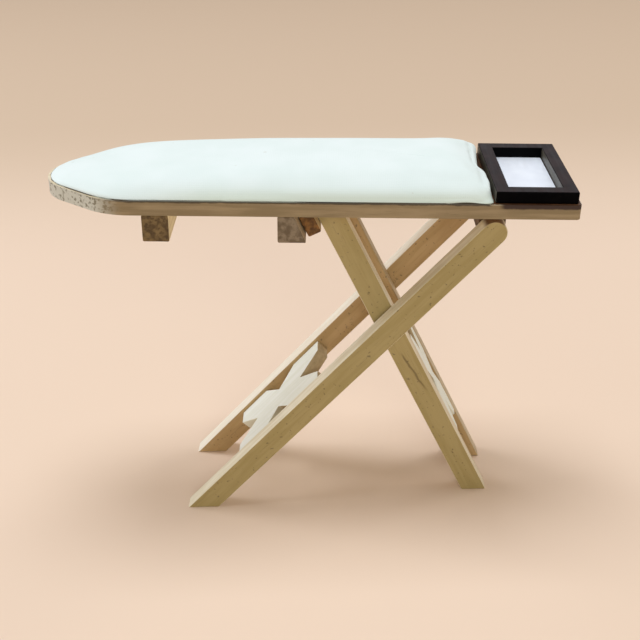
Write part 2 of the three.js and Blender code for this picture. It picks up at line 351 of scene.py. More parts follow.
def give_two_cuts(piece, direction, facing_finish, other_finish, facing=FACING):
    """Faces that look along a direction, or against it, take the first finish."""
    piece.data.materials.append(facing_finish)
    piece.data.materials.append(other_finish)
    for face in piece.data.polygons:
        faces_it = abs(face.normal.dot(direction)) > facing
        face.material_index = 0 if faces_it else 1


ACROSS = Vector((0, 1, 0))
PLANED_PALE = (0.78, 0.70, 0.52)
PLANED_DEEP = (0.66, 0.56, 0.38)


def planed_wood(name, turn, start, tones=(PLANED_PALE, PLANED_DEEP)):
    """The paler, smoother wood of planed faces."""
    return wood_finish(name, *tones, DARK_PORE, turn, start, pores=0.2, rough=0.5)


# %% [markdown]
# ## The legs
# The outer legs have round heads that turn on the hinge rail; all four feet are sawn along the
# floor. The CAD nodes have these outlines, so only their edges are eased. The narrow faces are
# paler than the broad ones: partly planed wood, partly painted light on faces that look up.
# Their tones differ from leg to leg as painted light and shade: paler on the outer legs, where
# the light falls openly, and brown on the far inner leg, which lies in shade. The back legs'
# broad faces are painted lighter and warmer, as painted bounce light. The outer legs' heads are
# painted darker with the shade under the board where they turn. The near inner leg also has a
# fine brown crack along its grain, just below the crossing. It is only skin deep, so it is drawn
# in the finish: brown where the leg's own height is close to a wandering line.

# %% Make the legs
LEG_EASE = 0.22 * MM
HOLE_EDGE = 0.3 * MM
LEG_PORES = 0.3
LEG_PITS = 0.55
PATTERN_STEP = Vector((0.031, 0, 0.011))
PATTERN_START = Vector((0, 0.017, 0))

crossing = (Vector(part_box("crossing_pin_front")[0]) + Vector(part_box("crossing_pin_front")[1])) / 2
legs = {}
leg_places = [("outer", "front"), ("outer", "back"), ("inner", "front"), ("inner", "back")]
# Broad faces: the back legs are lighter and warmer, as painted bounce light.
broad_tones_painted_bounce = {
    "front": ((0.41, 0.313, 0.133), (0.365, 0.274, 0.106)),
    "back": ((0.54, 0.37, 0.18), (0.468, 0.31, 0.138)),
}
# Narrow faces: planed wood with painted light, paler on the outer legs, and painted shade, brown, on
# the far inner leg.
narrow_tones_painted_light = {
    "outer_leg_front": ((0.84, 0.79, 0.63), (0.72, 0.65, 0.47)),
    "outer_leg_back": ((0.93, 0.89, 0.78), (0.86, 0.80, 0.67)),
    "inner_leg_front": (PLANED_PALE, PLANED_DEEP),
    "inner_leg_back": ((0.52, 0.41, 0.25), (0.43, 0.33, 0.19)),
}
for number, (pair, side) in enumerate(leg_places):
    leg_name = f"{pair}_leg_{side}"
    leg_turn = outer_turn if pair == "outer" else inner_turn
    leg_start = PATTERN_START + PATTERN_STEP * number
    leg_mesh = copy_of_node(leg_name)
    eased = round_edges(leg_mesh, LEG_EASE, HOLE_EDGE)
    leg = finished(f"{leg_name}_wood", leg_mesh, f"{pair}_frame", [leg_name])
    broad = wood_finish(
        f"{leg_name}_broad",
        *broad_tones_painted_bounce[side],
        DARK_PORE,
        leg_turn,
        leg_start,
        pores=LEG_PORES,
        pits=LEG_PITS,
    )
    planed = planed_wood(f"{leg_name}_planed", leg_turn, leg_start, narrow_tones_painted_light[leg_name])
    give_two_cuts(leg, ACROSS, broad, planed)
    even_normals(leg)
    legs[leg_name] = leg
    print(leg_name, "edges eased:", eased)

# %% Paint shade on the outer legs' heads
HEAD_FROM = 64.8 * MM
HEAD_TO = 65.8 * MM
HEAD_SHADE = (0.16, 0.085, 0.035)


def shade_head(material):
    """Paints shade on the finish where the leg's head turns under the board."""
    tree = material.node_tree
    height = split_axes(tree, object_coordinates(tree))[2]
    # Painted shade from the board above the heads.
    tint(tree, add_range(tree, height, HEAD_FROM, HEAD_TO), HEAD_SHADE)


for leg_name in ["outer_leg_front", "outer_leg_back"]:
    shade_head(legs[leg_name].data.materials[1])
print("leg heads darkened above", HEAD_FROM / MM, "mm")

# %% Draw the crack in the near inner leg
CRACK_STARTS = (-19.0 * MM, -16.0 * MM)
CRACK_ENDS = (-9.0 * MM, -7.0 * MM)
CRACK_HEIGHT = 1.53 * MM
CRACK_SLANT = 0.135
CRACK_WANDER = 0.9 * MM
CRACK_FADE = (0.06 * MM, 0.3 * MM)
CRACK_STRENGTH = 0.7
CRACK_BROWN = (0.14, 0.09, 0.035)


def draw_crack(material, centre, turn):
    """Darkens a thin wandering line that runs along a leg on its broad faces."""
    tree = material.node_tree
    place = turned_coordinates(tree, centre, turn)
    along, _, height = split_axes(tree, place)
    wander = add_wander(tree, place, 320.0, 3.0, CRACK_WANDER)
    line = add_math(tree, "ADD", add_math(tree, "MULTIPLY", along, CRACK_SLANT), CRACK_HEIGHT)
    off_line = add_math(tree, "SUBTRACT", add_math(tree, "ADD", height, wander), line)
    near = add_range(tree, add_math(tree, "ABSOLUTE", off_line), *CRACK_FADE, 1.0, 0.0)
    starts = add_range(tree, along, *CRACK_STARTS)
    ends = add_range(tree, along, *CRACK_ENDS, 1.0, 0.0)
    shown = add_math(tree, "MULTIPLY", near, add_math(tree, "MULTIPLY", starts, ends))
    tint(tree, add_math(tree, "MULTIPLY", shown, CRACK_STRENGTH), CRACK_BROWN)


draw_crack(legs["inner_leg_front"].data.materials[0], (crossing.x, 0, crossing.z), inner_turn)
print("crack from", CRACK_STARTS[0] / MM, "to", CRACK_ENDS[1] / MM, "mm along the leg")

# %% [markdown]
# ## The braces
# Each pair of legs is held by a flat board sawn to an X, a paler wood than the legs. Its CAD
# node has the notches, so its edges are only eased, a little less than the legs'. Its broad
# faces are the palest wood on the toy. Its sawn edges are brown on the upper half and fade to
# a paler tone below the middle of the brace.

# %% Make the braces
BRACE_EASE = 0.16 * MM
BRACE_START = (0.02, 0.05, 0.01)
BRACE_FADE = (-1.0 * MM, 2.0 * MM)
LOWER_SAWN_TONE = (0.80, 0.80, 0.68)
BRACE_TONES = ((0.89, 0.93, 0.88), (0.83, 0.87, 0.79))
UPPER_SAWN_TONES = ((0.52, 0.41, 0.24), (0.42, 0.32, 0.18))


def paler_below(material, level):
    """Fades the sawn edges to a paler tone below a level."""
    tree = material.node_tree
    height = split_axes(tree, object_coordinates(tree))[2]
    fade = [level + offset for offset in BRACE_FADE]
    tint(tree, add_range(tree, height, *fade, 1.0, 0.0), LOWER_SAWN_TONE)


for brace_name, brace_turn, brace_body in [
    ("outer_brace", outer_turn, "outer_frame"),
    ("inner_brace", inner_turn, "inner_frame"),
]:
    brace_mesh = copy_of_node(brace_name)
    round_edges(brace_mesh, BRACE_EASE, HOLE_EDGE)
    brace = finished(f"{brace_name}_wood", brace_mesh, brace_body, [brace_name])
    brace_broad = wood_finish(
        f"{brace_name}_broad", *BRACE_TONES, DARK_PORE, brace_turn, BRACE_START, pores=0.1
    )
    brace_sawn = wood_finish(
        f"{brace_name}_sawn", *UPPER_SAWN_TONES, DARK_PORE, brace_turn, BRACE_START, pores=0.3
    )
    brace_low, brace_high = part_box(brace_name)
    paler_below(brace_sawn, (brace_low[2] + brace_high[2]) / 2)
    brace_faces = Vector((math.sin(brace_turn[1]), 0, math.cos(brace_turn[1])))
    give_two_cuts(brace, brace_faces, brace_broad, brace_sawn)
    even_normals(brace)
    print(brace_name, "faces:", len(brace.data.polygons))

# %% [markdown]
# ## The rails
# Two battens cross the board's underside near the nose and in the middle, and a short one lies
# between the outer legs' heads. They are sawn from rougher stock, with blotchy, speckled ends
# and well rounded corners. The flat bar across the inner legs' heads is one more of them. Each
# has its own tones for its ends and for its long sides. The hinge rail's tones are dark with
# painted shade from the board above it, and the catch bar's end is dark end grain with painted
# shade from the board over it.

# %% Make the rails and the catch bar
RAIL_EASE = 0.32 * MM
END_FACING = 0.5
RAIL_STEP = Vector((0.01, 0, 0.02))
RAIL_START = Vector((0, 0.03, 0))

rail_ends = {
    "nose_rail": ("board", (0.21, 0.132, 0.048), (0.08, 0.045, 0.015)),
    "catch_rail": ("board", (0.25, 0.185, 0.118), (0.135, 0.092, 0.053)),
    # Dark tones: painted shade under the board.
    "hinge_rail": ("board", (0.17, 0.09, 0.035), (0.08, 0.04, 0.015)),
    # Dark end: end grain, darkened further with painted shade from the board.
    "catch_bar": ("inner_frame", (0.26, 0.11, 0.02), (0.09, 0.038, 0.008)),
}
rail_sides = {
    "nose_rail": ((0.88, 0.79, 0.51), (0.74, 0.63, 0.39)),
    "catch_rail": ((0.50, 0.40, 0.27), (0.40, 0.31, 0.20)),
    # Painted shade under the board, on the long sides too.
    "hinge_rail": ((0.17, 0.09, 0.035), (0.08, 0.04, 0.015)),
    "catch_bar": ((0.60, 0.46, 0.27), (0.44, 0.32, 0.17)),
}
for number, (rail_name, (rail_body, end_pale, end_deep)) in enumerate(rail_ends.items()):
    rail_start = RAIL_START + RAIL_STEP * number
    rail_mesh = copy_of_node(rail_name)
    round_edges(rail_mesh, RAIL_EASE, HOLE_EDGE)
    rail = finished(f"{rail_name}_wood", rail_mesh, rail_body, [rail_name])
    end_grain = wood_finish(
        f"{rail_name}_end",
        end_pale,
        end_deep,
        DARK_PORE,
        across_turn,
        rail_start,
        pores=0.75,
        rough=0.7,
    )
    long_grain = wood_finish(
        f"{rail_name}_side",
        *rail_sides[rail_name],
        DARK_PORE,
        across_turn,
        rail_start,
        pores=0.3,
        rough=0.6,
    )
    give_two_cuts(rail, ACROSS, end_grain, long_grain, END_FACING)
    even_normals(rail)
    print(rail_name, "faces:", len(rail.data.polygons))

# %% [markdown]
# ## The board
# The board is thin, with a softly rounded rim. Round the nose the saw cut across the fibres, so
# the rim there is greyer and full of dark pores, while along the sides it is smooth and tan. A
# mask that grows towards the nose mixes the two. The top of the rim is darkened with painted
# shade in the seams beside the cover and beside the iron rest. Their masks are measured in the
# board's own directions, and a little noise makes their lower edges wander.

# %% Make the board
BOARD_EASE = 0.3 * MM
CORNER_EDGE = 0.1 * MM
NOSE_SPECKS = (-41.0 * MM, -34.0 * MM)
NOSE_GREY = (0.58, 0.575, 0.51)
NOSE_PORE = (0.22, 0.205, 0.15)
RIM_TONES = ((0.345, 0.25, 0.138), (0.25, 0.178, 0.09))

board_mesh = copy_of_node("board")
round_edges(board_mesh, BOARD_EASE, CORNER_EDGE)
board = finished("board_wood", board_mesh, "board", ["board"])
board_start = (0.0, 0.0, 0.004)
board_timber = wood_finish(
    "board_rim", *RIM_TONES, DARK_PORE, along_turn, board_start, pores=0.35
)


def speckle_nose(material):
    """Adds grey, pitted end grain where the board nears its nose."""
    tree = material.node_tree
    place = object_coordinates(tree)
    nose = add_range(tree, split_axes(tree, place)[0], *NOSE_SPECKS, 1.0, 0.0)
    specks = add_range(tree, add_noise(tree, place, 1300.0, detail=2.0, roughness=0.6), 0.50, 0.64)
    tint(tree, nose, add_mix(tree, specks, NOSE_GREY, NOSE_PORE))


speckle_nose(board_timber)
print("nose speckled up to", NOSE_SPECKS[1] / MM, "mm along the row frame")

# %% Paint shade on the board's edge beside the cover and the rest
REST_SEAM_LEVELS = (BOARD_THICK - 0.95 * MM, BOARD_THICK - 0.6 * MM)
REST_SEAM_STRETCH = (-15.6 * MM, -14.2 * MM)
REST_SEAM_SHADE = (0.032, 0.0125, 0.005)
COVER_SEAM_LEVELS = (BOARD_THICK - 0.3 * MM, BOARD_THICK - 0.1 * MM)
COVER_SEAM_START = (-92.0 * MM, -84.0 * MM)
COVER_SEAM_STOP = (-17.4 * MM, -16.4 * MM)
COVER_SEAM_SHADE = (0.05, 0.034, 0.018)
COVER_SEAM_STRENGTH = 0.9
EDGE_WANDER = 0.5 * MM


def along_board(tree):
    """A place in the board's frame, its way along the board and its height over the underside."""
    place = turned_coordinates(tree, BOARD_END, along_turn)
    along, _, height = split_axes(tree, place)
    return place, along, height


def shade_rim_top(material):
    """Paints shade on the top of the rim, in the seams beside the cover and beside the rest."""
    tree = material.node_tree
    place, along, height = along_board(tree)
    height = add_math(tree, "ADD", height, add_wander(tree, place, 500.0, 2.0, EDGE_WANDER))
    # Painted shade in the seam where the cover meets the rim.
    cover_seam = add_range(tree, along, *COVER_SEAM_START)
    cover_seam = add_math(tree, "MULTIPLY", cover_seam, add_range(tree, along, *COVER_SEAM_STOP, COVER_SEAM_STRENGTH, 0.0))
    cover_seam = add_math(tree, "MULTIPLY", cover_seam, add_range(tree, height, *COVER_SEAM_LEVELS))
    tint(tree, cover_seam, COVER_SEAM_SHADE)
    # Painted shade in the seam below the rest frame.
    stained = add_range(tree, along, *REST_SEAM_STRETCH)
    stained = add_math(tree, "MULTIPLY", stained, add_range(tree, height, *REST_SEAM_LEVELS))
    tint(tree, stained, REST_SEAM_SHADE)


board_planed = planed_wood("board_planed", along_turn, board_start)
shade_rim_top(board_timber)
shade_rim_top(board_planed)
give_two_cuts(board, UPRIGHT, board_planed, board_timber)
even_normals(board)
print("board faces:", len(board.data.polygons))

# %% [markdown]
# ## The padded cover
# The cover is pale cloth pulled tight over wadding and glued down round its rim. The CAD cover
# is a thin shell; its outer skin is the stuffed form. The inner skin is thrown away, the rim is
# closed by one flat face below, and the skin is cut finer, because cloth folds only between its
# points. Cloth that is stretched over wadding pulls itself smooth and full, which is what a
# cloth simulation with inner pressure does. Blender's cloth solver is tuned for things as large
# as furniture, so the pad is blown up twelve times, to the size of a real ironing board, and
# brought back when it is done.

# %% Measure the pad
SIM_SCALE = 12.0
PAD_START_SHARE = 0.95
RIM_DROP = 0.24 * MM

pad_places = [to_board(p) for p in node_points("pad_cover")]
RIM = min(place.z for place in pad_places)
PAD_NOSE = min(place.x for place in pad_places)
PAD_END = max(place.x for place in pad_places)
PAD_TOP = max(place.z for place in pad_places)
PAD_HALF = max(place.y for place in pad_places)
print("pad from", round(PAD_NOSE / MM, 2), "to", round(PAD_END / MM, 2), "mm")
print("crown, mm:", round((PAD_TOP - RIM) / MM, 2))

# %% The skin of the pad
INNER_SLACK = 0.12 * MM
END_ROUND = 7.0 * MM
FACING_DOWN = -0.9
JOIN_ANGLE = math.radians(40)
JOIN_SHAPE = math.radians(60)


def spine_point(co):
    """The point on the pad's middle line from which a point of its side is reached."""
    return Vector((min(max(co.x, PAD_NOSE + PAD_HALF), PAD_END - END_ROUND), 0, 0))


def pad_skin():
    """The cover's outer skin in the board's frame, still open below."""
    mesh = bmesh.new()
    mesh.from_mesh(nodes["pad_cover"].data)
    bmesh.ops.remove_doubles(mesh, verts=mesh.verts, dist=SAME_POINT)
    for vertex in mesh.verts:
        vertex.co = to_board(vertex.co)
    mesh.normal_update()
    inner = []
    for face in mesh.faces:
        centre = face.calc_center_median()
        outward = centre - spine_point(centre)
        outward.z = centre.z - RIM + INNER_SLACK
        if face.normal.dot(outward) < 0 or face.normal.z < FACING_DOWN:
            inner.append(face)
    bmesh.ops.delete(mesh, geom=inner, context="FACES")
    bmesh.ops.join_triangles(
        mesh,
        faces=mesh.faces,
        angle_face_threshold=JOIN_ANGLE,
        angle_shape_threshold=JOIN_SHAPE,
    )
    return mesh


# %% Cut the skin finer and close it
LONGEST_EDGE = 1.2 * MM
CUT_SMOOTHNESS = 0.6


def long_edges(mesh):
    """The edges that are too long for fine folds."""
    return [edge for edge in mesh.edges if edge.calc_length() > LONGEST_EDGE]


def pad_blank():
    """The pad ready to be stuffed: even, closed, blown up and a little low."""
    mesh = pad_skin()
    bmesh.ops.subdivide_edges(
        mesh, edges=long_edges(mesh), cuts=2, use_grid_fill=True, smooth=CUT_SMOOTHNESS
    )
    bmesh.ops.subdivide_edges(mesh, edges=long_edges(mesh), cuts=1, use_grid_fill=True)
    rim = [edge for edge in mesh.edges if edge.is_boundary]
    bmesh.ops.contextual_create(mesh, geom=rim)
    bmesh.ops.recalc_face_normals(mesh, faces=mesh.faces)
    for vertex in mesh.verts:
        vertex.co.z = max(0, vertex.co.z - RIM) * PAD_START_SHARE
        vertex.co *= SIM_SCALE
    return mesh


# %% Stuff the pad
PAD_CAP = 0.35 * MM
PINNED_BELOW = 0.35 * MM
CLOTH_FRAMES = 20


def stuff(pad):
    """Swells the pad with cloth pressure, its underside and rim held, and caps the movement."""
    held = pad.vertex_groups.new(name="held")
    low = [v.index for v in pad.data.vertices if v.co.z < PINNED_BELOW * SIM_SCALE]
    held.add(low, 1.0, "REPLACE")
    before = [v.co.copy() for v in pad.data.vertices]
    cloth = pad.modifiers.new("Cloth", "CLOTH")
    cloth.settings.quality = 6
    cloth.settings.mass = 0.3
    cloth.settings.tension_stiffness = 20
    cloth.settings.compression_stiffness = 20
    cloth.settings.shear_stiffness = 8
    cloth.settings.bending_stiffness = 2
    cloth.settings.use_pressure = True
    cloth.settings.uniform_pressure_force = 4.0
    cloth.settings.effector_weights.gravity = 0
    cloth.settings.vertex_group_mass = held.name
    cloth.point_cache.frame_start = 1
    cloth.point_cache.frame_end = CLOTH_FRAMES
    scene = bpy.context.scene
    for number in range(1, CLOTH_FRAMES + 1):
        scene.frame_set(number)
    graph = bpy.context.evaluated_depsgraph_get()
    after = [v.co.copy() for v in pad.evaluated_get(graph).data.vertices]
    pad.modifiers.remove(cloth)
    scene.frame_set(1)
    limit = PAD_CAP * SIM_SCALE
    moved = []
    for vertex, old, new in zip(pad.data.vertices, before, after):
        step = new - old
        if step.length > limit:
            step *= limit / step.length
        vertex.co = old + step
        moved.append(step.length)
    pad.vertex_groups.remove(held)
    return max(moved) / SIM_SCALE


# %% [markdown]
# After the simulation the pad is shrunk to size. The edge round its flat underside is creased,
# so that it stays where the glue holds it when the surface is rounded. Then the small signs of
# hand work follow: soft hollows, puckers where the end was tucked under, and a step where the
# tuck ends. On the near side of that step the end bulges in two folds; on the far side it is
# pulled in, with a low ridge behind it and its corner left square. Towards the long sides the
# cover falls away softly, much more on the near side. It is set on the board last, with its
# rim pressed down to where the glue holds it.

# %% Build the pad and simulate it
pad_mesh = pad_blank()
pad_data = bpy.data.meshes.new("padded_cover")
pad_mesh.to_mesh(pad_data)
pad_mesh.free()
padded_cover = bpy.data.objects.new("padded_cover", pad_data)
bpy.context.scene.collection.objects.link(padded_cover)


print("most that the cloth moved, mm:", round(stuff(padded_cover) / MM, 3))

# %% Smooth the pad and bring it back to size
SMOOTH_PASSES = 10
SMOOTH_ABOVE = 0.7 * MM
MANY_CORNERS = 20

pad_mesh = bmesh.new()
pad_mesh.from_mesh(padded_cover.data)
bmesh.ops.scale(pad_mesh, verts=pad_mesh.verts, vec=Vector((1, 1, 1)) / SIM_SCALE)
crease = pad_mesh.edges.layers.float.new("crease_edge")
underside = [face for face in pad_mesh.faces if len(face.verts) > MANY_CORNERS]
for edge in {edge for face in underside for edge in face.edges}:
    edge[crease] = 1.0
print("faces below:", len(underside))
for _ in range(SMOOTH_PASSES):
    bmesh.ops.smooth_vert(
        pad_mesh,
        verts=[v for v in pad_mesh.verts if v.co.z > SMOOTH_ABOVE],
        factor=0.5,
        use_axis_x=True,
        use_axis_y=True,
        use_axis_z=True,
    )
pad_height = max(v.co.z for v in pad_mesh.verts)
print("pad points:", len(pad_mesh.verts), "height, mm:", round(pad_height / MM, 2))

# %% Shape the tucks
END_REACH = 7.0 * MM
HIGH_FROM = 1.2 * MM
BELL_SHARPNESS = 2.5
PUCKER_DEPTH = 0.16 * MM
PUCKER_SPACING = 3.1 * MM
PUCKER_WOBBLE = 1.7
PUCKER_NOISE = 300
NOTCH_REACH = 0.8 * MM
NOTCH_DEPTH = 0.3 * MM
STEP_AT = -2.8 * MM
STEP_SOFT = 0.3 * MM
PULL_IN = 1.35 * MM
PULL_CORNER_SHARE = 0.25
LIP_LENGTH = 2.2 * MM
LIP_FALL = 1.3 * MM
LIP_HEIGHT = 3.0 * MM
FLARE_AT = Vector((PAD_END, -PAD_HALF, 0))
FLARE_REACH = 3.0 * MM
FLARE_OUT = 0.25 * MM
LIFT_AT = Vector((PAD_END - 5.0 * MM, -PAD_HALF, 0))
LIFT_REACH = 4.5 * MM
LIFT_HEIGHT = 0.35 * MM
LIFT_LOST_ABOVE = 0.5
HOLLOW_DEPTH = 0.07 * MM
HOLLOWS_ALONG = 85
HOLLOWS_ACROSS = 120
HOLLOW_LAYER = 0.3
SQUARE_REACH = 4.0 * MM
SQUARE_OUT = 0.75 * MM
SQUARE_UP = 0.6 * MM
BULGE_LOW = (0.6 * MM, 1.3 * MM)
BULGE_LOW_OUT = 0.27 * MM
BULGE_HIGH = (2.0 * MM, 2.8 * MM)
BULGE_HIGH_OUT = 0.4 * MM
RIDGE_AT = PAD_END - 8.0 * MM
RIDGE_REACH = 6.0 * MM
RIDGE_UP = 0.3 * MM
SHOULDER_FROM = 6.5 * MM
SHOULDER_CURVE = 1.5
NEAR_FALL_SHARE = 0.34
FAR_FALL_SHARE = 0.06


def near_end(x):
    """1 at the pad's square end, falling to 0 over its reach."""
    share = max(0.0, 1 - (PAD_END - x) / END_REACH)
    return share * share


def lip_ceiling(from_end):
    """The height the cloth is held down to, near the end where it lies over its own hem."""
    share = max(0.0, min(1.0, (from_end - LIP_LENGTH) / LIP_FALL))
    return LIP_HEIGHT + share * share * (3 - 2 * share) * (PAD_TOP - RIM)


def rise(value, low, high):
    """0 below low, 1 above high, and a straight climb between them."""
    return max(0.0, min(1.0, (value - low) / (high - low)))


def bump_at(distance, reach):
    """A soft bell, 1 in its middle."""
    return math.exp(-((distance / reach) ** 2) * BELL_SHARPNESS)


for vertex in pad_mesh.verts:
    co = vertex.co
    end = near_end(co.x)
    high = min(1.0, co.z / HIGH_FROM)
    wobble = PUCKER_WOBBLE * noise.noise(co * PUCKER_NOISE)
    wave = math.sin(co.y / PUCKER_SPACING * 2 * math.pi + wobble)
    co.z += wave * PUCKER_DEPTH * end * high
    co.z = min(co.z, lip_ceiling(PAD_END - co.x))
    far_side = 1 / (1 + math.exp((STEP_AT - co.y) / STEP_SOFT))
    filled = max(0.0, 1 - (PAD_END - co.x) / SQUARE_REACH) * far_side * high
    co.x += SQUARE_OUT * filled * max(0.0, co.y / PAD_HALF)
    co.z += SQUARE_UP * filled
    to_corner = rise(co.y, STEP_AT, PAD_HALF)
    co.x -= PULL_IN * far_side * (1 - to_corner * (1 - PULL_CORNER_SHARE)) * end
    bulge = BULGE_LOW_OUT * rise(co.z, *BULGE_LOW) + BULGE_HIGH_OUT * rise(co.z, *BULGE_HIGH)
    co.x += bulge * (1 - far_side) * end
    co.z += RIDGE_UP * far_side * bump_at(co.x - RIDGE_AT, RIDGE_REACH) * high
    fall = NEAR_FALL_SHARE if co.y < 0 else FAR_FALL_SHARE
    co.z *= 1 - fall * rise(abs(co.y), SHOULDER_FROM, PAD_HALF) ** SHOULDER_CURVE * high
    corner = bump_at((Vector((co.x, co.y, 0)) - FLARE_AT).length, FLARE_REACH) * (1 - high)
    co.x += FLARE_OUT * corner
    notch = bump_at(co.y - STEP_AT, NOTCH_REACH)
    co.z -= NOTCH_DEPTH * notch * end * high
    hollow = noise.noise(Vector((co.x * HOLLOWS_ALONG, co.y * HOLLOWS_ACROSS, HOLLOW_LAYER)))
    co.z += hollow * HOLLOW_DEPTH * high
    lift = bump_at((Vector((co.x, co.y, 0)) - LIFT_AT).length, LIFT_REACH)
    co.z += LIFT_HEIGHT * lift * (1 - high * LIFT_LOST_ABOVE)
print("tucks shaped on", len(pad_mesh.verts), "points")

# %% Set the pad on the board
for vertex in pad_mesh.verts:
    vertex.co.z += RIM - RIM_DROP
    vertex.co = from_board(vertex.co)
bmesh.ops.recalc_face_normals(pad_mesh, faces=pad_mesh.faces)
for face in pad_mesh.faces:
    face.smooth = True
pad_mesh.to_mesh(padded_cover.data)
pad_mesh.free()
subdivide = padded_cover.modifiers.new("Subdivision", "SUBSURF")
subdivide.levels = subdivide.render_levels = 1
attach(padded_cover, "board")
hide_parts("pad_cover", "pad_wadding")
print("padded cover set on the board, faces:", len(padded_cover.data.polygons))

# %% [markdown]
# The cloth is a fine plain weave, pale with a breath of green. Two bands of waves at right
# angles give the threads; at this size they only soften the light. Broad noise keeps the colour
# from being flat, and a few specks of dust lie on top. Low on its sides, near the board, the
# cloth is painted darker and greener as painted shade, but not round the nose. Sheen gives the
# bright rim that fine cotton shows where it turns.

# %% The cloth finish
THREAD_SCALE = 950.0
HEM_SHADE_REACH = 3.0 * MM
HEM_SHADE_START = (-86.0 * MM, -66.0 * MM)
HEM_SHADE_COLOUR = (0.655, 0.755, 0.675)
HEM_SHADE_STRENGTH = 0.85
COTTON_PALE = (0.765, 0.855, 0.865)
COTTON_DEEP = (0.725, 0.825, 0.825)
THREAD_COLOUR = (0.70, 0.80, 0.76)
THREAD_STRENGTH = 0.05
DUST_COLOUR = (0.45, 0.44, 0.36)


def thread_waves(tree, direction):
    """Bands of threads along one axis of the piece."""
    node = add_node(
        tree,
        "ShaderNodeTexWave",
        wave_type="BANDS",
        bands_direction=direction,
        wave_profile="SIN",
    )
    node.inputs["Scale"].default_value = THREAD_SCALE
    node.inputs["Distortion"].default_value = 0.6
    node.inputs["Detail"].default_value = 1.0
    tree.links.new(object_coordinates(tree), node.inputs["Vector"])
    return node.outputs["Fac"]


def cloth_finish():
    """Pale fine cotton."""
    material, tree, shader = new_material("cover_cotton")
    place = object_coordinates(tree)
    weave = add_math(tree, "MULTIPLY", thread_waves(tree, "X"), thread_waves(tree, "Y"))
    broad = add_noise(tree, place, 90.0, detail=2.0)
    colour = add_mix(tree, add_range(tree, broad, 0.3, 0.7), COTTON_PALE, COTTON_DEEP)
    threads = add_math(tree, "MULTIPLY", weave, THREAD_STRENGTH)
    colour = add_mix(tree, threads, colour, THREAD_COLOUR)
    _, along, height = along_board(tree)
    # Painted shade low on the cloth's sides, near the board, faded out towards the nose.
    hem_shade = add_range(tree, height, BOARD_THICK, BOARD_THICK + HEM_SHADE_REACH, HEM_SHADE_STRENGTH, 0.0)
    hem_shade = add_math(tree, "MULTIPLY", hem_shade, add_range(tree, along, *HEM_SHADE_START))
    colour = add_mix(tree, hem_shade, colour, HEM_SHADE_COLOUR)
    dust = add_range(tree, add_noise(tree, place, 420.0, detail=1.0), 0.785, 0.82, 0.0, 0.28)
    colour = add_mix(tree, dust, colour, DUST_COLOUR)
    tree.links.new(colour, shader.inputs["Base Color"])
    shader.inputs["Roughness"].default_value = 0.9
    shader.inputs["Specular IOR Level"].default_value = 0.2
    shader.inputs["Sheen Weight"].default_value = 0.15
    shader.inputs["Sheen Roughness"].default_value = 0.5
    shader.inputs["Sheen Tint"].default_value = (0.95, 1.0, 0.97, 1.0)
    add_bump(tree, shader, weave, 0.25, 0.04 * MM)
    return material


padded_cover.data.materials.clear()
padded_cover.data.materials.append(cloth_finish())
print("cloth finish ready")

# %% [markdown]
# Round the rim a thin dark line of painted shade marks the seam where the cloth's edge meets the
# board. It is a low ribbon that follows the pad: the CAD cover's own outline, cut to a thin slice
# just above the board and pushed out by a hair.

# %% Make the painted seam shade
SEAM_LINE_HEIGHT = 0.18 * MM
SEAM_LINE_OUT = 0.1 * MM
LIFT_OFF_BOARD = 0.02 * MM
SEAM_SHADE_TONES = ((0.09, 0.06, 0.03), (0.035, 0.022, 0.012))
SEAM_SHADE_PORE = (0.015, 0.01, 0.006)


def seam_shade_slice():
    """A thin slice of the cover's outline, lying on the board."""
    mesh = copy_of_node("pad_cover")
    for vertex in mesh.verts:
        vertex.co = to_board(vertex.co)
    hull = bmesh.ops.convex_hull(mesh, input=mesh.verts)
    bmesh.ops.delete(mesh, geom=hull["geom_interior"], context="VERTS")
    cut = bmesh.ops.bisect_plane(
        mesh,
        geom=mesh.verts[:] + mesh.edges[:] + mesh.faces[:],
        plane_co=(0, 0, RIM + SEAM_LINE_HEIGHT),
        plane_no=(0, 0, 1),
        clear_outer=True,
    )
    rim = [part for part in cut["geom_cut"] if isinstance(part, bmesh.types.BMEdge)]
    bmesh.ops.contextual_create(mesh, geom=rim)
    bmesh.ops.remove_doubles(mesh, verts=mesh.verts, dist=SAME_POINT)
    bmesh.ops.recalc_face_normals(mesh, faces=mesh.faces)
    mesh.normal_update()
    drop = RIM - BOARD_THICK - LIFT_OFF_BOARD
    for vertex in mesh.verts:
        outward = Vector((vertex.normal.x, vertex.normal.y, 0))
        if outward.length > 0:
            vertex.co += outward.normalized() * SEAM_LINE_OUT
        vertex.co.z -= drop
        vertex.co = from_board(vertex.co)
    return mesh


# A dark ribbon of painted shade in the seam under the cover's rim.
seam_shade_line = finished("seam_shade_line", seam_shade_slice(), "board")
seam_shade_line.data.materials.append(
    wood_finish("painted_seam_shade", *SEAM_SHADE_TONES, SEAM_SHADE_PORE, along_turn, pores=0.4, rough=0.6)
)
print("glue faces:", len(seam_shade_line.data.polygons))

# %% [markdown]
# ## The iron rest
# A small frame, stained almost black, sits at the square end, and a bright metal sheet lies
# inside it. The stain is thin and a little uneven: the wood shows through as brown on the top,
# and the brush left faint streaks that catch the light. The faces that look towards the nose
# are painted greyer, as painted light on faces that sit in the shade beside the cover. A dark
# sheet of painted shade lies round the frame's foot, reaching to the end of the cover.

# %% Make the iron rest's frame
REST_EASE = 0.2 * MM
TOP_TONES = ((0.012, 0.0075, 0.007), (0.024, 0.0145, 0.0135))
SIDE_TONES = ((0.001, 0.001, 0.0013), (0.002, 0.0018, 0.002))
NOSE_SIDE_LIGHT_TONES = ((0.050, 0.043, 0.031), (0.085, 0.073, 0.052))

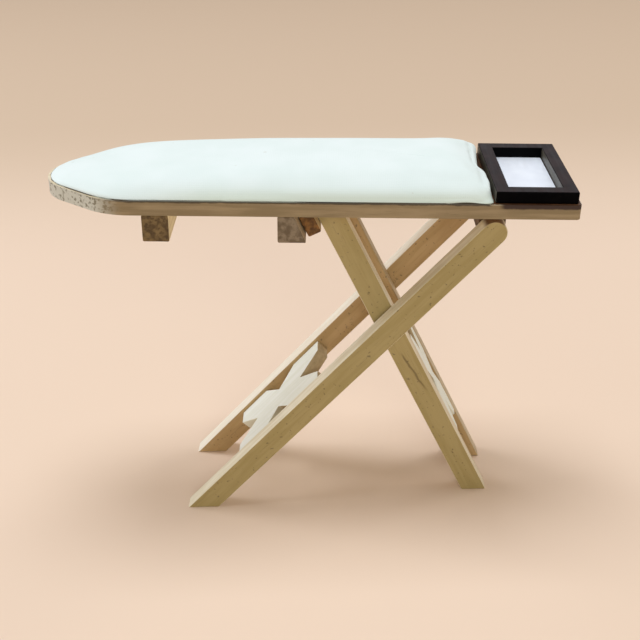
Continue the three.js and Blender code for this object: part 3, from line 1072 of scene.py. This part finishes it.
rest_mesh = copy_of_node("iron_rest_frame")
round_edges(rest_mesh, REST_EASE, HOLE_EDGE)
rest_frame = finished(
    "iron_rest_frame_stained", rest_mesh, "board", ["iron_rest_frame"]
)


def stain_and_shade_finish(name, deep, thin, gloss):
    """Dark stain with brush streaks, thinner where the wood was proud."""
    material, tree, shader = new_material(name)
    grain = turned_coordinates(tree, (0, 0, 0), across_turn, GRAIN_STRETCH)
    streaks = add_noise(tree, grain, 900.0, detail=4.0)
    clouds = add_noise(tree, object_coordinates(tree), 260.0, detail=3.0)
    tone = add_math(tree, "MULTIPLY", streaks, clouds)
    colour = add_mix(tree, add_range(tree, tone, 0.14, 0.38), deep, thin)
    tree.links.new(colour, shader.inputs["Base Color"])
    tree.links.new(add_range(tree, streaks, 0.3, 0.7, 0.36, 0.52), shader.inputs["Roughness"])
    shader.inputs["Specular IOR Level"].default_value = gloss
    add_bump(tree, shader, streaks, 0.25, 0.05 * MM)
    return material


top_stain = stain_and_shade_finish("thin_stain", *TOP_TONES, gloss=0.07)
side_stain = stain_and_shade_finish("deep_stain", *SIDE_TONES, gloss=0.02)
nose_side_painted_light = stain_and_shade_finish("nose_side_painted_light", *NOSE_SIDE_LIGHT_TONES, gloss=0.3)
give_two_cuts(rest_frame, UPRIGHT, top_stain, side_stain)
rest_frame.data.materials.append(nose_side_painted_light)
# Faces towards the nose take the paler stain: painted light.
for face in rest_frame.data.polygons:
    if face.normal.dot(ALONG) < -FACING:
        face.material_index = 2
even_normals(rest_frame)
print("rest frame faces:", len(rest_frame.data.polygons))

# %% Make the sheet of painted shade round the rest
SHADE_SHEET_OUT = 0.42 * MM
SHADE_TO_PAD = 0.9 * MM
SHADE_SHEET_THICK = 0.05 * MM
REST_SHADE_TONES = ((0.055, 0.022, 0.009), (0.11, 0.05, 0.02))


def shade_sheet_mesh():
    """A thin sheet on the board, a little wider than the foot of the rest frame."""
    places = [to_board(p) for p in node_points("iron_rest_frame")]
    floor_level = BOARD_THICK + LIFT_OFF_BOARD
    start = min(place.x for place in places) - SHADE_TO_PAD
    stop = max(place.x for place in places) + SHADE_SHEET_OUT
    half = max(place.y for place in places) + SHADE_SHEET_OUT
    mesh = bmesh.new()
    bmesh.ops.create_cube(mesh, size=1)
    size = Vector((stop - start, 2 * half, SHADE_SHEET_THICK))
    bmesh.ops.scale(mesh, verts=mesh.verts, vec=size)
    middle = Vector(((start + stop) / 2, 0, floor_level + SHADE_SHEET_THICK / 2))
    bmesh.ops.translate(mesh, verts=mesh.verts, vec=middle)
    for vertex in mesh.verts:
        vertex.co = from_board(vertex.co)
    return mesh


# A dark sheet of painted shade round the rest's foot and in the gap up to the cover.
rest_shade_sheet = finished("rest_shade_sheet", shade_sheet_mesh(), "board")
rest_shade_sheet.data.materials.append(stain_and_shade_finish("rest_shade_sheet", *REST_SHADE_TONES, gloss=0.1))
even_normals(rest_shade_sheet)
print("stain faces:", len(rest_shade_sheet.data.polygons))

# %% Make the metal plate
PLATE_EASE = 0.08 * MM
SHEET_TONES = ((0.83, 0.88, 0.96), (0.88, 0.93, 1.0))

plate_mesh = copy_of_node("iron_rest_plate")
round_edges(plate_mesh, PLATE_EASE, HOLE_EDGE)
rest_plate = finished(
    "iron_rest_plate_metal", plate_mesh, "board", ["iron_rest_plate"]
)


def metal_finish(name, colour_low, colour_high, rough_low, rough_high, metallic=1.0):
    """Bright sheet or wire with fine drawn lines."""
    material, tree, shader = new_material(name)
    grain = turned_coordinates(tree, (0, 0, 0), across_turn, GRAIN_STRETCH)
    lines = add_noise(tree, grain, 3400.0, detail=2.0)
    clouds = add_noise(tree, object_coordinates(tree), 240.0, detail=2.0)
    colour = add_mix(tree, add_range(tree, clouds, 0.3, 0.7), colour_low, colour_high)
    tree.links.new(colour, shader.inputs["Base Color"])
    tree.links.new(add_range(tree, lines, 0.3, 0.7, rough_low, rough_high), shader.inputs["Roughness"])
    shader.inputs["Metallic"].default_value = metallic
    add_bump(tree, shader, lines, 0.08, 0.01 * MM)
    return material


rest_plate.data.materials.append(
    metal_finish("bright_sheet", *SHEET_TONES, rough_low=0.42, rough_high=0.55, metallic=0.3)
)
even_normals(rest_plate)
print("plate faces:", len(rest_plate.data.polygons))

# %% [markdown]
# ## The pins
# Four short wire pins are hidden in blind holes. They keep their CAD meshes and only get a
# drawn steel finish, in case a leg is taken off to look.

# %% Finish the pins
WIRE_TONES = ((0.42, 0.40, 0.36), (0.50, 0.48, 0.44))

wire_finish = metal_finish("drawn_wire", *WIRE_TONES, rough_low=0.3, rough_high=0.45)
for pin_name in ["hinge_pin_front", "hinge_pin_back", "crossing_pin_front", "crossing_pin_back"]:
    pin = nodes[pin_name]
    pin.data.materials.clear()
    pin.data.materials.append(wire_finish)
print("pins finished")

# %% [markdown]
# ## The stage
# A wide pale floor carries the soft shadow. The key light is a broad panel almost straight
# above the toy, which makes the upper faces bright. Weaker panels on the left, on the right
# and in front, and warm light from the room, keep the near faces soft. Each panel has a level:
# a white sheet that faced it, with no other light, would come out at that share of white.

# %% Floor
FLOOR_HALF = 3.0
FLOOR_DROP = 0.02 * MM
FAR_SHADE_REACH = (0.10, 0.26)
FLOOR_TONES = ((0.79, 0.625, 0.50), (0.81, 0.65, 0.52))
FAR_SHADE_COLOUR = (0.65, 0.51, 0.385)

floor_mesh = bmesh.new()
bmesh.ops.create_grid(floor_mesh, x_segments=1, y_segments=1, size=FLOOR_HALF)
bmesh.ops.translate(floor_mesh, verts=floor_mesh.verts, vec=(0, 0, -FLOOR_DROP))
floor_data = bpy.data.meshes.new("floor")
floor_mesh.to_mesh(floor_data)
floor_mesh.free()
floor = bpy.data.objects.new("floor", floor_data)
bpy.context.scene.collection.objects.link(floor)


def floor_finish():
    """Plain pale card, painted darker far behind the toy as painted shade where the light falls off.
    """
    material, tree, shader = new_material("pale_floor")
    place = object_coordinates(tree)
    broad = add_noise(tree, place, 6.0, detail=2.0)
    near = add_mix(tree, broad, *FLOOR_TONES)
    # Painted shade far behind the toy.
    far = add_range(tree, split_axes(tree, place)[1], *FAR_SHADE_REACH)
    tree.links.new(add_mix(tree, far, near, FAR_SHADE_COLOUR), shader.inputs["Base Color"])
    shader.inputs["Roughness"].default_value = 0.9
    shader.inputs["Specular IOR Level"].default_value = 0.1
    return material


floor.data.materials.append(floor_finish())
print("floor laid", FLOOR_DROP / MM, "mm below the feet")

# %% Lights
TOY_MIDDLE = Vector((0, 0, 0.045))


def light_power(level, distance):
    """The power of a panel that lights a facing white sheet to a level, 1 being white."""
    return level * math.pi**2 * distance**2


def add_panel(name, place, size, level, colour=(1, 1, 1)):
    """A square area light that faces the toy's middle."""
    place = Vector(place)
    data = bpy.data.lights.new(name, "AREA")
    data.shape = "SQUARE"
    data.size = size
    data.energy = light_power(level, (place - TOY_MIDDLE).length)
    data.color = colour
    panel = bpy.data.objects.new(name, data)
    panel.location = place
    panel.rotation_euler = (TOY_MIDDLE - place).to_track_quat("-Z", "Y").to_euler()
    bpy.context.scene.collection.objects.link(panel)
    print(name, "at", round((place - TOY_MIDDLE).length, 2), "m, level", level)


add_panel("key_panel", (0.0, 0.10, 1.10), 0.5, 0.55, (0.98, 1.04, 1.12))
add_panel("right_panel", (0.95, 0.35, 0.45), 0.5, 0.20)
add_panel("left_panel", (-0.95, 0.25, 0.50), 0.5, 0.37, (0.96, 1.0, 1.06))
add_panel("front_panel", (0.1, -1.0, 0.45), 0.6, 0.28, (0.97, 1.07, 1.05))

# %% [markdown]
# The room's warm light falls on the toy from all round. The camera and the shiny faces see an
# even pale white instead, so the plate and the stain have something bright to mirror.

# %% World
ROOM_LIGHT = (1.0, 0.80, 0.60, 1)
ROOM_STRENGTH = 0.31
SEEN_WHITE = (0.93, 0.94, 1.0, 1)
SEEN_STRENGTH = 0.85

world = bpy.data.worlds.new("room")
bpy.context.scene.world = world
world.use_nodes = True
world_tree = world.node_tree
world_tree.nodes.clear()
room = add_node(world_tree, "ShaderNodeBackground")
room.inputs["Color"].default_value = ROOM_LIGHT
room.inputs["Strength"].default_value = ROOM_STRENGTH
shown = add_node(world_tree, "ShaderNodeBackground")
shown.inputs["Color"].default_value = SEEN_WHITE
shown.inputs["Strength"].default_value = SEEN_STRENGTH
path = add_node(world_tree, "ShaderNodeLightPath")
seen = add_math(world_tree, "MAXIMUM", path.outputs["Is Camera Ray"], path.outputs["Is Glossy Ray"])
choice = add_node(world_tree, "ShaderNodeMixShader")
world_out = add_node(world_tree, "ShaderNodeOutputWorld")
world_tree.links.new(seen, choice.inputs[0])
world_tree.links.new(room.outputs[0], choice.inputs[1])
world_tree.links.new(shown.outputs[0], choice.inputs[2])
world_tree.links.new(choice.outputs[0], world_out.inputs["Surface"])
print("room light", ROOM_STRENGTH, "seen by the camera", SEEN_STRENGTH)

# %% [markdown]
# ## The camera
# The camera looks down on the toy from the front at about 29 degrees, from a little over
# 20 centimetres away, and is turned and rolled by a degree or two, as a hand-held one is.

# %% Camera
LENS_MM = 59.06
SENSOR_MM = 36.0
ELEVATION = math.radians(28.88)
YAW = math.radians(-1.036)
ROLL = math.radians(-1.987)
DISTANCE = 0.22136
AIM = Vector((1.34 * MM, 0, 39.46 * MM))
NEAREST = 0.01
FURTHEST = 20

look = Vector((
    math.sin(YAW) * math.cos(ELEVATION),
    math.cos(YAW) * math.cos(ELEVATION),
    -math.sin(ELEVATION),
))
level_right = Vector((math.cos(YAW), -math.sin(YAW), 0))
level_up = level_right.cross(look)
right = level_right * math.cos(ROLL) + level_up * math.sin(ROLL)
up = level_up * math.cos(ROLL) - level_right * math.sin(ROLL)

camera_data = bpy.data.cameras.new("camera")
camera_data.lens = LENS_MM
camera_data.sensor_width = SENSOR_MM
camera_data.clip_start = NEAREST
camera_data.clip_end = FURTHEST
camera = bpy.data.objects.new("camera", camera_data)
turn = Matrix((right, up, -look)).transposed().to_4x4()
camera.matrix_world = Matrix.Translation(AIM - look * DISTANCE) @ turn
bpy.context.scene.collection.objects.link(camera)
bpy.context.scene.camera = camera
bpy.context.scene.view_settings.view_transform = "Standard"
print("camera at", [round(value / MM, 1) for value in camera.location])
